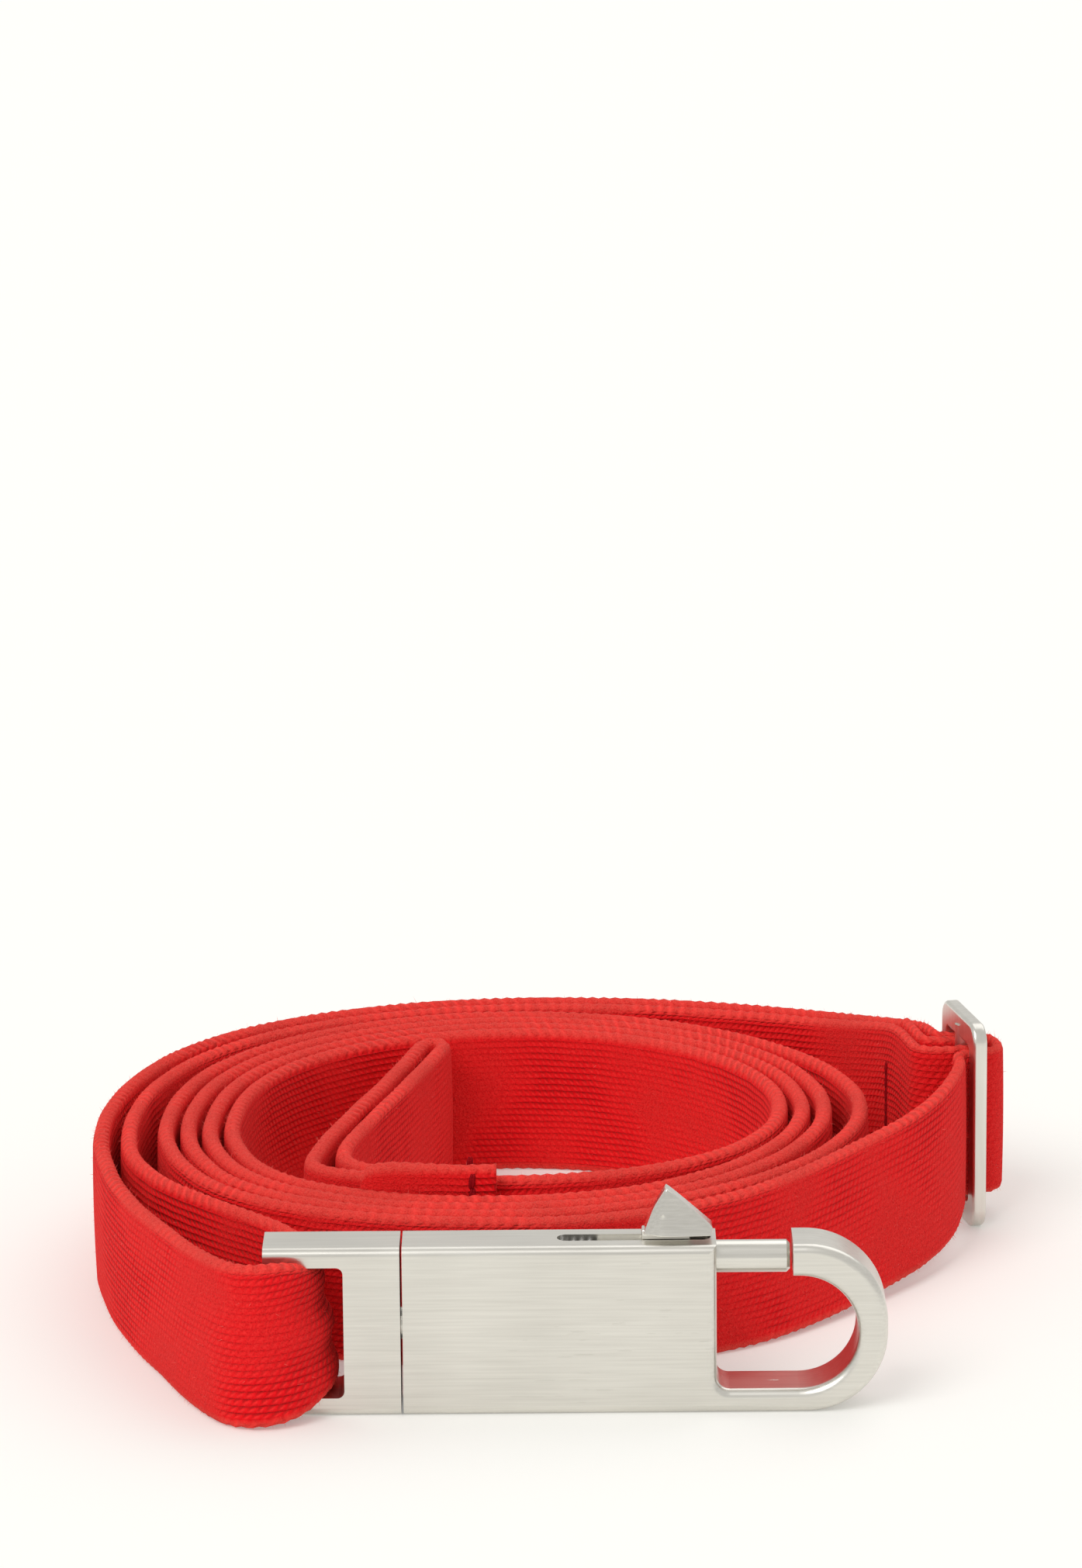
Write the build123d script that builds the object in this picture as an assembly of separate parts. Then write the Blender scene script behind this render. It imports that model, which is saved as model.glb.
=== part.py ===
from build123d import *
import math
import os

# Luggage strap: a long cotton webbing with a sewn hand loop, a three-bar slider and a
# swivelling snap clip, laid down on edge in a flat coil. Millimetres, +Z up, the webbing's
# lower edge and the clip's lower edge stand on Z = 0.

# Webbing
WEB_WIDTH = 25.0
WEB_THICK = 3.0
WEB_PRESSED = 2.2       # thickness where it is squeezed through the slider
WEB_GAP = 0.25          # least air between the webbing and metal
STITCH_R = 0.35
STITCH_PASSES = 8

# Snap clip body
BODY_LENGTH = 47.6
BODY_HEIGHT = 26.5
BODY_DEPTH = 10.5
SWIVEL_GAP = 0.35

# Swivel frame that holds the webbing
FRAME_LENGTH = 20.7
FRAME_ARM = 2.9
FRAME_BAR = 3.2
WINDOW_CORNER = 1.1
FRAME_WEB = 8.6         # solid part beside the swivel

# Hook
HOOK_LENGTH = 26.0
HOOK_SECTION = 4.5
HOOK_FLOOR = 3.6
HOOK_TIP_HEIGHT = 5.0
HOOK_BEND = 12.4        # outer corner radius of the hook
HOOK_CORNER = 2.0       # inner corner between the hook's floor and the body
EDGE_FILLET = 1.3

# Gate
GATE_R = 2.5
GATE_GAP = 0.4
GATE_OUT = 11.2         # length of pin that bridges the opening
GATE_IN = 18.0          # length of pin inside the body
GATE_RUNNING = 0.05
GATE_AXIS_DROP = 3.1    # pin axis below the top face
SLOT_WIDTH = 3.2
SLOT_LENGTH = 23.5
SPRING_WIRE = 0.35
SPRING_R = 1.7
SPRING_TURNS = 14
SPRING_REST = 18.0

# Thumb lever
LEVER_STEM = 7.4
LEVER_FROM_END = 11.3   # stem's left side to the body's right end
SLOT_END_WALL = 0.8
LEVER_STEM_WIDTH = 2.6
LEVER_HEAD = 10.5
LEVER_HEIGHT = 7.6
LEVER_DEPTH = 6.0
LEVER_LIFT = 1.0
SCREW_R = 0.8

# Swivel
RIVET_R = 2.5
RIVET_HEAD_R = 3.6
RIVET_HEAD = 1.8
BUSH_R = 4.2
BUSH_LENGTH = 5.0
WASHER_THICK = 0.6
RUNNING = 0.05

# Slider
SLIDER_PITCH = 8.6      # centre bar to outer bar
SLIDER_STRIP = 3.4
SLIDER_THICK = 2.4
SLIDER_SIDE = 4.2
SLIDER_BAR_R = 1.6
SLIDER_ROCK = 0.7       # room for the outer bars to rock on the centre bar
SLIDER_LIFT = 0.8       # webbing above the slider's lower side

# Where things lie, before the whole is centred on its own box
CENTRE = (0.0, 8.1)
BAR_AT = (-43.0, -61.2)         # swivel frame's webbing bar
SLIDER_AT = (68.2, 35.5)
SLIDER_TURN = -78.5             # heading of the slider from its far bar to its near bar
COIL_AT = (-6.7, 17.8)
COIL_RADIUS = 58.8
COIL_PITCH = 3.7
COIL_TURNS = 4
COIL_STEPS = 16
COIL_SQUASH = 0.7               # half the difference of its two radii
CORNER_SWELL = 6.4              # the turns run wide towards the clip
LOOSE_SWELL = 2.5               # the outermost turn stands off on the right
FRONT_SWELL = 3.5               # all but the last half turn stand forward at the front

AXIS_Z = BODY_HEIGHT / 2
FRAME_LEFT = BAR_AT[0] - FRAME_BAR / 2
BODY_LEFT = FRAME_LEFT + FRAME_LENGTH + SWIVEL_GAP
BODY_RIGHT = BODY_LEFT + BODY_LENGTH
GATE_Z = BODY_HEIGHT - GATE_AXIS_DROP
SLIDER_HEIGHT = WEB_WIDTH + 2 * (SLIDER_SIDE + SLIDER_LIFT)
LAY_FREE = -(SLIDER_THICK / 2 + WEB_GAP + SLIDER_ROCK + WEB_PRESSED / 2)
LAY_TAIL = LAY_FREE - WEB_PRESSED - 2 * WEB_GAP
LAY_LEG = LAY_TAIL - WEB_PRESSED - WEB_GAP
TIP_LEFT = BODY_RIGHT + GATE_OUT + GATE_GAP
TIP_SPARE = 3.0         # cut off the tip again once its edges are round
WINDOW_LENGTH = FRAME_LENGTH - FRAME_BAR - FRAME_WEB
NECK_HEIGHT = BODY_HEIGHT - 2 * FRAME_ARM - 2 * WEB_GAP


def at_slider(along, out):
    """A plan point from the slider's own two directions."""
    a = math.radians(SLIDER_TURN)
    return (
        SLIDER_AT[0] + along * math.cos(a) - out * math.sin(a),
        SLIDER_AT[1] + along * math.sin(a) + out * math.cos(a),
    )


def corner_radii(points):
    """The largest smooth arc at each corner of a route."""
    radii = []
    for a, b, c in zip(points, points[1:], points[2:]):
        before, after = Vector(b) - Vector(a), Vector(c) - Vector(b)
        turn = math.radians(before.get_angle(after))
        run = min(before.length, after.length)
        radii.append(0.45 * run / math.tan(turn / 2))
    return radii


def ribbon(points, thickness, radii=None):
    """Webbing standing on edge along a plan route."""
    route = FilletPolyline(*points, radius=radii or corner_radii(points))
    return extrude(trace(route, line_width=thickness), WEB_WIDTH)


def bump(angle, middle, half):
    """1 at the middle angle, falling smoothly to 0 at half to either side."""
    off = (angle - middle + 180) % 360 - 180
    return math.cos(math.radians(90 * off / half)) ** 2 if abs(off) < half else 0.0


def coil_route():
    """The nested turns, clockwise and inwards from the front."""
    points = []
    for step in range(COIL_TURNS * COIL_STEPS + 1):
        turn = step / COIL_STEPS
        angle = -90 - 360 * turn
        r = COIL_RADIUS - COIL_PITCH * turn + CORNER_SWELL * bump(angle, -135, 45)
        if turn < 1:
            r += LOOSE_SWELL * bump(angle, 0, 60)
        if turn < COIL_TURNS - 0.5:
            r += FRONT_SWELL * bump(angle, -90, 75)
        a = math.radians(angle)
        points.append(
            (
                COIL_AT[0] + (r - COIL_SQUASH) * math.cos(a),
                COIL_AT[1] + (r + COIL_SQUASH) * math.sin(a),
            )
        )
    return points


# Hand-chosen stretches of the route
LOOP_STITCH_AT = (-13.6, -24.8)
LOOP_STITCH_REACH = 3.2
OUTER_LEGS = [
    (47, 65), (33, 73.2), (14, 78.6), (-7, 79.8), (-28, 75.9), (-46, 66), (-60, 50.5),
    (-67.5, 31), (-69.8, 10), (-68.6, -8), (-62.8, -22.5), (-55.5, -32.4), (-48, -40.8),
    (-39.8, -47.6), (-36.6, -55.5), (-37.4, -63), (-43.5, -67.4), (-51.3, -67.2),
    (-57.8, -59.5), (-62.8, -47), (-67.6, -32), (-72, -14), (-73.6, 6), (-71.6, 30),
    (-64.5, 52.3), (-49.5, 69.5), (-29.5, 80), (-7, 84), (16, 82.5), (36, 77), (50, 68.8),
]
NEAR_LEG = [(61.5, 5), (50.5, -10), (36.5, -27.5), (24.5, -37.5), (8, -44.3)]
HAND_LOOP = [
    (-21, -26.1), (-31.5, -23.4), (-39.6, -16.6), (-38.2, -5.5), (-33.4, 14), (-27.4, 36),
    (-24.1, 50), (-22.4, 57.2), (-18.6, 56.4), (-20.3, 49), (-23.7, 35), (-29.7, 13),
    (-34.4, -6.5), (-33.6, -13.8), (-28.4, -19.2), (-20, -22.5), (-9.7, -23.2),
]


def slider_eye():
    """End of the webbing sewn round the slider's centre bar."""
    r = SLIDER_BAR_R + WEB_GAP + WEB_PRESSED / 2
    tail = [(-16, LAY_TAIL), (-r, LAY_TAIL), (-r, r), (r, r)]
    lead = [(r, LAY_LEG), (-12, LAY_LEG)]
    points = [at_slider(a, o) for a, o in tail + lead]
    return ribbon(points, WEB_PRESSED, [1.3, r * 0.98, r * 0.98, 1.3])


def slider_bulge():
    """The webbing passing up through the slider, over its eye and down again."""
    r = SLIDER_BAR_R + 2 * WEB_GAP + 1.5 * WEB_PRESSED
    points = [(-12, LAY_FREE), (-r, LAY_FREE), (-r, r), (r, r), (r, LAY_FREE), (12, LAY_FREE)]
    points = [at_slider(a, o) for a, o in points]
    return ribbon(points, WEB_PRESSED, [1.3, r * 0.98, r * 0.98, 1.3])


def neck():
    """What the swivel frame's arms leave of the webbing's two edges."""
    low = (BODY_HEIGHT - NECK_HEIGHT) / 2
    reach = math.hypot(FRAME_BAR / 2 + WINDOW_LENGTH, BODY_DEPTH / 2) + WEB_GAP
    round_bar = Pos(*BAR_AT, 0) * Cylinder(reach, 2 * low, align=(
        Align.CENTER, Align.CENTER, Align.CENTER))
    top = Pos(0, 0, BODY_HEIGHT) * round_bar
    return round_bar + top


def webbing():
    """One continuous strip: sewn eye, outer legs, slider bulge, near leg, coil, hand loop."""
    first = [at_slider(-11.5, LAY_LEG), at_slider(-19, LAY_LEG - 0.3)]
    last = [at_slider(-19, LAY_FREE - 0.6), at_slider(-11.5, LAY_FREE)]
    outer = ribbon(first + OUTER_LEGS + last, WEB_THICK)
    inner = ribbon([at_slider(11.5, LAY_FREE)] + NEAR_LEG + coil_route() + HAND_LOOP, WEB_THICK)
    raised = Pos(0, 0, SLIDER_SIDE + SLIDER_LIFT) * (slider_eye() + slider_bulge())
    return outer - neck() + inner + raised


def stitch(place, heading, reach, low, high):
    """A row of thread across the webbing: a run on each face and the passes between them."""
    run = Box(2 * STITCH_R, 2 * STITCH_R, high - low)
    thread = Pos(0, reach, (low + high) / 2) * run + Pos(0, -reach, (low + high) / 2) * run
    for row in range(STITCH_PASSES):
        z = low + STITCH_R + row * (high - low - 2 * STITCH_R) / (STITCH_PASSES - 1)
        thread += Pos(0, 0, z) * Box(1.6 * STITCH_R, 2 * reach, 1.6 * STITCH_R)
    return Pos(*place, 0) * Rot(0, 0, heading) * thread


def loop_stitch():
    """Row that closes the hand loop."""
    return stitch(LOOP_STITCH_AT, 3, LOOP_STITCH_REACH, 2, WEB_WIDTH - 2)


def slider_stitch():
    """Row that closes the eye round the slider's centre bar."""
    middle = (LAY_LEG + LAY_TAIL) / 2
    reach = (LAY_TAIL - LAY_LEG + WEB_THICK) / 2
    return stitch(at_slider(-14, middle), SLIDER_TURN, reach, 7, WEB_WIDTH - 2)


def swivel_frame():
    """Rectangular loop that the webbing runs through, with a bored end for the rivet."""
    block = Pos(FRAME_LEFT, BAR_AT[1], 0) * Box(
        FRAME_LENGTH, BODY_DEPTH, BODY_HEIGHT, align=(Align.MIN, Align.CENTER, Align.MIN))
    block = fillet(block.edges().filter_by(Axis.X), EDGE_FILLET)
    window = Pos(FRAME_LEFT - 1, BAR_AT[1], FRAME_ARM) * Box(
        1 + FRAME_BAR + WINDOW_LENGTH, 2 * BODY_DEPTH, BODY_HEIGHT - 2 * FRAME_ARM,
        align=(Align.MIN, Align.CENTER, Align.MIN))
    window = fillet(window.edges().filter_by(Axis.Y).group_by(Axis.X)[-1], WINDOW_CORNER)
    bar = Pos(BAR_AT[0], BAR_AT[1], AXIS_Z) * Cylinder(FRAME_BAR / 2, BODY_HEIGHT - FRAME_ARM)
    rivet_hole = Pos(FRAME_LEFT + FRAME_LENGTH, BAR_AT[1], AXIS_Z) * Rot(0, -90, 0) * Cylinder(
        RIVET_R, FRAME_WEB - 2, align=(Align.CENTER, Align.CENTER, Align.MIN))
    return block - window + bar - rivet_hole


def along_x(x, length, radius, z=AXIS_Z):
    """A round bar or bore along the clip's long axis, starting at x."""
    return Pos(x, BAR_AT[1], z) * Rot(0, 90, 0) * Cylinder(
        radius, length, align=(Align.CENTER, Align.CENTER, Align.MIN))


def swivel_rivet():
    """Headed rivet pressed into the frame; its head turns behind the bush."""
    start = FRAME_LEFT + FRAME_LENGTH - FRAME_WEB + 2
    head_at = BODY_LEFT + BUSH_LENGTH + WASHER_THICK + RUNNING * 2
    return along_x(start, head_at - start, RIVET_R) + along_x(head_at, RIVET_HEAD, RIVET_HEAD_R)


def swivel_bush():
    """Bush pressed into the body, which the rivet turns in."""
    return along_x(BODY_LEFT, BUSH_LENGTH, BUSH_R) - along_x(
        BODY_LEFT, BUSH_LENGTH, RIVET_R + RUNNING)


def thrust_washer():
    """Washer between the bush and the rivet's head."""
    start = BODY_LEFT + BUSH_LENGTH + RUNNING
    return along_x(start, WASHER_THICK, RIVET_HEAD_R) - along_x(
        start, WASHER_THICK, RIVET_R + 2 * RUNNING)


def clip_outline():
    """Body and D-shaped hook, seen from the front."""
    right = BODY_RIGHT + HOOK_LENGTH
    bend = HOOK_BEND
    tip_x = TIP_LEFT - TIP_SPARE
    tip_z = BODY_HEIGHT - HOOK_TIP_HEIGHT
    inner_r = (tip_z - HOOK_FLOOR) / 2
    inner_x = right - HOOK_SECTION - inner_r
    sag = HOOK_CORNER * (1 - math.sqrt(0.5))
    out = bend * (1 - math.sqrt(0.5))
    return make_face(Wire([
        Line((BODY_LEFT, 0), (right - bend, 0)),
        ThreePointArc((right - bend, 0), (right - out, out), (right, bend)),
        Line((right, bend), (right, BODY_HEIGHT - bend)),
        ThreePointArc((right, BODY_HEIGHT - bend), (right - out, BODY_HEIGHT - out),
                      (right - bend, BODY_HEIGHT)),
        Line((right - bend, BODY_HEIGHT), (tip_x, BODY_HEIGHT)),
        Line((tip_x, BODY_HEIGHT), (tip_x, tip_z)),
        Line((tip_x, tip_z), (inner_x, tip_z)),
        ThreePointArc((inner_x, tip_z), (inner_x + inner_r, tip_z - inner_r), (inner_x, HOOK_FLOOR)),
        Line((inner_x, HOOK_FLOOR), (BODY_RIGHT + HOOK_CORNER, HOOK_FLOOR)),
        ThreePointArc((BODY_RIGHT + HOOK_CORNER, HOOK_FLOOR), (BODY_RIGHT + sag, HOOK_FLOOR + sag),
                      (BODY_RIGHT, HOOK_FLOOR + HOOK_CORNER)),
        Line((BODY_RIGHT, HOOK_FLOOR + HOOK_CORNER), (BODY_RIGHT, BODY_HEIGHT)),
        Line((BODY_RIGHT, BODY_HEIGHT), (BODY_LEFT, BODY_HEIGHT)),
        Line((BODY_LEFT, BODY_HEIGHT), (BODY_LEFT, 0)),
    ]))


def hook_body():
    """Body and hook in one casting, bored for the gate and the swivel."""
    flat = Plane(origin=(0, BAR_AT[1] + BODY_DEPTH / 2, 0), x_dir=(1, 0, 0), z_dir=(0, -1, 0))
    whole = extrude(flat * clip_outline(), BODY_DEPTH)
    rims = [e for e in whole.edges() if abs(e.center().Y - BAR_AT[1]) > BODY_DEPTH / 3]
    rims = [e for e in rims if e.center().X > BODY_LEFT + EDGE_FILLET / 2]
    whole = fillet(rims, EDGE_FILLET)
    whole -= Pos(TIP_LEFT, BAR_AT[1], BODY_HEIGHT + 1) * Box(
        2 * TIP_SPARE, 2 * BODY_DEPTH, 2 + HOOK_TIP_HEIGHT, align=(Align.MAX, Align.CENTER, Align.MAX))
    gate_bore = along_x(
        BODY_RIGHT - GATE_IN - SPRING_REST, GATE_IN + SPRING_REST, GATE_R + GATE_RUNNING, GATE_Z)
    chamber_end = BODY_LEFT + BUSH_LENGTH + WASHER_THICK + RIVET_HEAD + 4 * RUNNING + 0.3
    chamber = along_x(BODY_LEFT, chamber_end - BODY_LEFT, BUSH_R)
    slot_length = BODY_LENGTH - SLOT_LENGTH - SLOT_END_WALL
    slot = Pos(BODY_LEFT + SLOT_LENGTH, BAR_AT[1], GATE_Z) * Box(
        slot_length, SLOT_WIDTH, BODY_HEIGHT, align=(Align.MIN, Align.CENTER, Align.MIN))
    slot = fillet(slot.edges().filter_by(Axis.Z), SLOT_WIDTH / 2 - 0.1)
    return whole - gate_bore - chamber - slot


def lever_left():
    """Left end of the thumb lever's stem with the gate closed."""
    return BODY_RIGHT - LEVER_FROM_END


def gate_pin():
    """Round plunger that closes the hook, bored for the lever's screw."""
    pin = along_x(BODY_RIGHT - GATE_IN, GATE_IN + GATE_OUT, GATE_R, GATE_Z)
    pin = chamfer(pin.edges().sort_by(Axis.X)[-1], 0.5)
    flat_top = Pos(lever_left(), BAR_AT[1], GATE_Z + GATE_R - 0.9) * Box(
        LEVER_STEM, 2 * GATE_R, GATE_R, align=(Align.MIN, Align.CENTER, Align.MIN))
    hole = Pos(lever_left() + LEVER_STEM / 2, BAR_AT[1], GATE_Z) * Cylinder(SCREW_R, 4 * GATE_R)
    return pin - flat_top - hole


def thumb_lever():
    """Fin-shaped push on a stem that runs in the slot."""
    foot = GATE_Z + GATE_R - 0.9
    stem = Pos(lever_left(), BAR_AT[1], foot) * Box(
        LEVER_STEM, LEVER_STEM_WIDTH, BODY_HEIGHT + LEVER_LIFT - foot,
        align=(Align.MIN, Align.CENTER, Align.MIN))
    left, base = lever_left() + 0.3, BODY_HEIGHT + LEVER_LIFT
    top = BODY_HEIGHT + LEVER_HEIGHT
    side = make_face(Polyline(
        (left, base), (left + 1.3, top), (left + 2.6, top), (left + LEVER_HEAD, base + 1.2),
        (left + LEVER_HEAD - 1.8, base), (left, base)))
    flat = Plane(origin=(0, BAR_AT[1] + LEVER_DEPTH / 2, 0), x_dir=(1, 0, 0), z_dir=(0, -1, 0))
    head = extrude(flat * side, LEVER_DEPTH)
    hole = Pos(lever_left() + LEVER_STEM / 2, BAR_AT[1], foot) * Cylinder(SCREW_R, 2 * 3.4)
    return stem + head - hole


def lever_screw():
    """Set screw that ties the lever to the pin."""
    foot = GATE_Z + GATE_R - 0.9
    return Pos(lever_left() + LEVER_STEM / 2, BAR_AT[1], foot + 3.2) * Cylinder(
        SCREW_R, 6.0, align=(Align.CENTER, Align.CENTER, Align.MAX))


def gate_spring():
    """Compression spring behind the pin."""
    start = BODY_RIGHT - GATE_IN - SPRING_REST + SPRING_WIRE + 0.05
    length = SPRING_REST - 2 * SPRING_WIRE - 0.1
    path = Helix(length / SPRING_TURNS, length, SPRING_R)
    ring = Plane(origin=path @ 0, z_dir=path % 0) * Circle(SPRING_WIRE)
    wire = sweep(ring, path=path, is_frenet=True)
    return Pos(start, BAR_AT[1], GATE_Z) * Rot(0, 90, 0) * wire


def slider():
    """Three-bar slider standing on its lower edge."""
    length = 2 * SLIDER_PITCH + SLIDER_STRIP
    ring = Box(length, SLIDER_THICK, SLIDER_HEIGHT)
    ring = fillet(ring.edges().filter_by(Axis.Y), 3.2)
    hollow = Box(2 * SLIDER_PITCH - SLIDER_STRIP, 9, SLIDER_HEIGHT - 2 * SLIDER_SIDE)
    hollow = fillet(hollow.edges().filter_by(Axis.Y), 1.0)
    bar = Cylinder(SLIDER_BAR_R, SLIDER_HEIGHT - SLIDER_SIDE)
    whole = fillet((ring - hollow).edges(), 0.6) + bar
    return Pos(*SLIDER_AT, SLIDER_HEIGHT / 2) * Rot(0, 0, SLIDER_TURN) * whole


def main():
    os.makedirs("parts", exist_ok=True)
    nodes = {
        "webbing": webbing(),
        "loop_stitch": loop_stitch(),
        "slider_stitch": slider_stitch(),
        "swivel_frame": swivel_frame(),
        "swivel_rivet": swivel_rivet(),
        "swivel_bush": swivel_bush(),
        "thrust_washer": thrust_washer(),
        "hook_body": hook_body(),
        "gate_pin": gate_pin(),
        "gate_spring": gate_spring(),
        "thumb_lever": thumb_lever(),
        "lever_screw": lever_screw(),
        "slider": slider(),
    }
    centre = Pos(-CENTRE[0], -CENTRE[1], 0)
    for name, shape in nodes.items():
        export_step(centre * shape, f"parts/{name}.step")
        box = (centre * shape).bounding_box()
        print(name, box.min, box.max, round(shape.volume), len(shape.solids()))


main()
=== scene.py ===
"""Looks of a coiled luggage strap: cotton webbing, sewn loop, slider and swivelling snap clip."""

import logging
import math
import random
from dataclasses import dataclass, field
from enum import Enum

import bpy
from mathutils import Euler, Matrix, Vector

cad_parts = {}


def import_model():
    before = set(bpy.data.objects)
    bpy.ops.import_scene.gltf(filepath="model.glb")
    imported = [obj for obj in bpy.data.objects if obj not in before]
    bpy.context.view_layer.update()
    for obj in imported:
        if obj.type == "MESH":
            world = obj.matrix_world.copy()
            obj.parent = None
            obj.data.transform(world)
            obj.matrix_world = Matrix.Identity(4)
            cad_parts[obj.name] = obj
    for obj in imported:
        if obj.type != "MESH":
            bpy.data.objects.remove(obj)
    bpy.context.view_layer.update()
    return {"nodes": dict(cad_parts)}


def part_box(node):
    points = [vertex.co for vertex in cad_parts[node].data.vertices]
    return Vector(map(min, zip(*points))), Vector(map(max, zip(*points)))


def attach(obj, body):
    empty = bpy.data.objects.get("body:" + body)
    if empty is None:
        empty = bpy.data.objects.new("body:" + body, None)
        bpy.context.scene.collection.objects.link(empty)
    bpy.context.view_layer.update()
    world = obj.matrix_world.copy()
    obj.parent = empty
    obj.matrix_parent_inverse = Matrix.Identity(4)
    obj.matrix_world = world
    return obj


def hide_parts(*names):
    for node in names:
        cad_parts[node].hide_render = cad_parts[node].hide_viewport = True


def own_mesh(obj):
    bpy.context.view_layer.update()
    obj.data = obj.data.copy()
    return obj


LOG = logging.getLogger("luggage_strap")
MM = 0.001
SEED = 7
Socket = bpy.types.NodeSocket
Colour = tuple[float, float, float]
Sockets = dict[str, float | tuple[float, ...]]


class Body(Enum):
    """The bodies that the modelled pieces ride on."""

    STRAP = "strap"
    GATE = "gate"


class Face(Enum):
    """The two flat sides of the webbing."""

    LEFT = 1
    RIGHT = -1


# ---------------------------------------------------------------- node and mesh helpers


class Nodes:
    """Builds one material's node tree in a few calls."""

    def __init__(self, name: str) -> None:
        """Starts an empty material with a Principled shader.

        Args:
            name: The material's name.
        """
        self.material = bpy.data.materials.new(name)
        self.material.use_nodes = True
        self.tree = self.material.node_tree
        self.shader = self.tree.nodes["Principled BSDF"]

    def add(self, kind: str, values: Sockets | None = None, **settings: object) -> bpy.types.Node:
        """Adds a node.

        Args:
            kind: The node's type name.
            values: Values for its input sockets, by name.
            settings: The node's own properties.

        Returns:
            The new node.
        """
        node = self.tree.nodes.new(kind)
        for name, value in settings.items():
            setattr(node, name, value)
        for name, value in (values or {}).items():
            node.inputs[name].default_value = value
        return node

    def link(self, source: Socket, target: Socket) -> None:
        """Joins an output to an input.

        Args:
            source: The output.
            target: The input.
        """
        self.tree.links.new(source, target)

    def math(self, operation: str, a: object, b: object = 0.0, c: object = 0.0) -> Socket:
        """Adds a Math node whose inputs are sockets or numbers.

        Args:
            operation: The Math node's operation.
            a: First input.
            b: Second input.
            c: Third input.

        Returns:
            The node's output socket.
        """
        node = self.add("ShaderNodeMath", operation=operation)
        for socket, value in zip(node.inputs, (a, b, c)):
            if isinstance(value, bpy.types.NodeSocket):
                self.link(value, socket)
            else:
                socket.default_value = value
        return node.outputs[0]

    def mix(self, share: object, a: object, b: object) -> Socket:
        """Mixes two number sockets by a third.

        Args:
            share: How much of the second.
            a: The first.
            b: The second.

        Returns:
            The mixed socket.
        """
        node = self.add("ShaderNodeMix", data_type="FLOAT")
        for socket, value in zip((node.inputs[0], node.inputs[2], node.inputs[3]), (share, a, b)):
            self.link(value, socket)
        return node.outputs[0]

    def noise(self, scale: tuple[float, float, float], detail: float = 3.0) -> Socket:
        """Noise on Object coordinates.

        Args:
            scale: Cells per metre along each axis.
            detail: Octaves.

        Returns:
            The noise's value socket.
        """
        place = self.add("ShaderNodeTexCoord")
        mapping = self.add("ShaderNodeMapping", {"Scale": scale})
        noise = self.add("ShaderNodeTexNoise", {"Scale": 1.0, "Detail": detail})
        self.link(place.outputs["Object"], mapping.inputs["Vector"])
        self.link(mapping.outputs["Vector"], noise.inputs["Vector"])
        return noise.outputs[0]

    def ramp(self, value: Socket, stops: list[tuple[float, Colour]]) -> Socket:
        """A colour ramp.

        Args:
            value: What the ramp reads.
            stops: Place and linear colour of each stop.

        Returns:
            The ramp's colour socket.
        """
        node = self.add("ShaderNodeValToRGB")
        while len(node.color_ramp.elements) < len(stops):
            node.color_ramp.elements.new(0.5)
        for element, (place, colour) in zip(node.color_ramp.elements, stops):
            element.position = place
            element.color = (*colour, 1.0)
        self.link(value, node.inputs[0])
        return node.outputs[0]

    def bump(self, height: Socket, distance: float, strength: float = 1.0) -> None:
        """Feeds a height to the shader's normal.

        Args:
            height: The height socket, 0 to 1.
            distance: Height of the relief in metres.
            strength: Strength of the bump.
        """
        node = self.add("ShaderNodeBump", {"Distance": distance, "Strength": strength})
        self.link(height, node.inputs["Height"])
        self.link(node.outputs["Normal"], self.shader.inputs["Normal"])

    def set(self, **values: float | tuple[float, ...]) -> None:
        """Sets constants on the shader's own sockets.

        Args:
            values: The constants, by socket name with underscores for spaces.
        """
        for name, value in values.items():
            self.shader.inputs[name.replace("_", " ")].default_value = value


def deselect() -> None:
    """Leaves nothing selected, so that an operator acts only on what is added next."""
    if bpy.context.object and bpy.context.object.mode != "OBJECT":
        bpy.ops.object.mode_set(mode="OBJECT")
    bpy.ops.object.select_all(action="DESELECT")


def dress(piece: bpy.types.Object, material: bpy.types.Material) -> None:
    """Gives a piece one material.

    Args:
        piece: The object.
        material: Its only material.
    """
    piece.data.materials.clear()
    piece.data.materials.append(material)


def settle(piece: bpy.types.Object) -> None:
    """Puts a piece's place into its mesh, so that its object sits at the origin.

    Args:
        piece: The object.
    """
    deselect()
    piece.select_set(True)
    bpy.context.view_layer.objects.active = piece
    bpy.ops.object.transform_apply(location=True, rotation=True, scale=True)


def apply_modifier(piece: bpy.types.Object, kind: str, **settings: object) -> None:
    """Adds a modifier and applies it.

    Args:
        piece: The object.
        kind: The modifier's type.
        settings: The modifier's properties.
    """
    deselect()
    piece.select_set(True)
    bpy.context.view_layer.objects.active = piece
    modifier = piece.modifiers.new(kind.title(), kind)
    for name, value in settings.items():
        setattr(modifier, name, value)
    bpy.ops.object.modifier_apply(modifier=modifier.name)


# ---------------------------------------------------------------- finishes


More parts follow.
